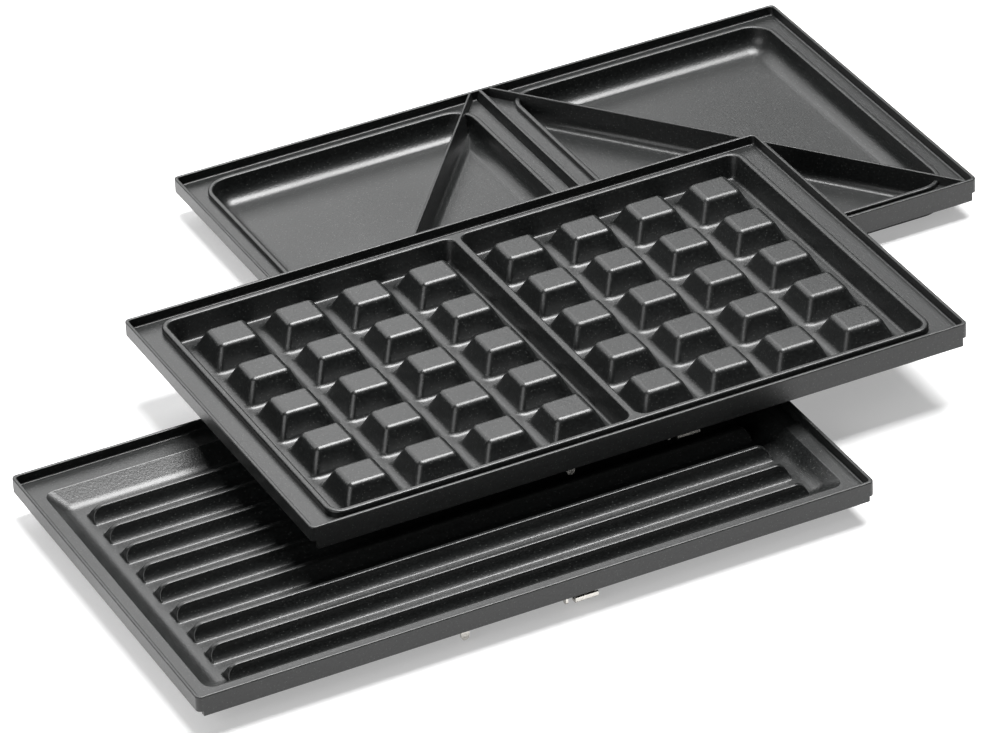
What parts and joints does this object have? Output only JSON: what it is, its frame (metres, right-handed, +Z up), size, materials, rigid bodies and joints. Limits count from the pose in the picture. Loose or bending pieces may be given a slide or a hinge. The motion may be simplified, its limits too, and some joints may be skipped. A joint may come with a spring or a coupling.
{
  "type": "set of interchangeable toaster cooking plates",
  "caption": "Set of interchangeable non-stick cooking plates for a sandwich, waffle and grill toaster, fanned out with the waffle plate lying across the rims of the others.",
  "frame": {"origin": "centre of the outer box of the whole set, on the surface it lies on", "axes": "+X along the plates' long sides to the right, +Y from the grill plate at the front to the sandwich plate at the back, +Z up"},
  "size_m": [0.35, 0.282, 0.028],
  "materials": {
    "nonstick_casting": "satin charcoal non-stick coating with a fine speckle",
    "tab_steel": "bright rolled stainless steel",
    "rivet_steel": "bright stainless steel"
  },
  "bodies": {
    "grill": {"grill_plate": "nonstick_casting", "grill_latch_tab": "tab_steel", "grill_locating_tab": "tab_steel", "grill_hook_left": "tab_steel", "grill_hook_right": "tab_steel", "grill_front_rivets": "rivet_steel", "grill_rear_rivets": "rivet_steel"},
    "sandwich": {"sandwich_plate": "nonstick_casting", "sandwich_latch_tab": "tab_steel", "sandwich_locating_tab": "tab_steel", "sandwich_hook_left": "tab_steel", "sandwich_hook_right": "tab_steel", "sandwich_front_rivets": "rivet_steel", "sandwich_rear_rivets": "rivet_steel"},
    "waffle": {"waffle_plate": "nonstick_casting", "waffle_latch_tab": "tab_steel", "waffle_locating_tab": "tab_steel", "waffle_hook_left": "tab_steel", "waffle_hook_right": "tab_steel", "waffle_front_rivets": "rivet_steel", "waffle_rear_rivets": "rivet_steel"}
  },
  "joints": [
    {"name": "sandwich_lift", "type": "slide", "parent": "grill", "child": "sandwich", "axis": [0, 0, 1], "range_m": [0, 0.08]},
    {"name": "waffle_lift", "type": "slide", "parent": "sandwich", "child": "waffle", "axis": [0, 0, 1], "range_m": [0, 0.12]}
  ]
}
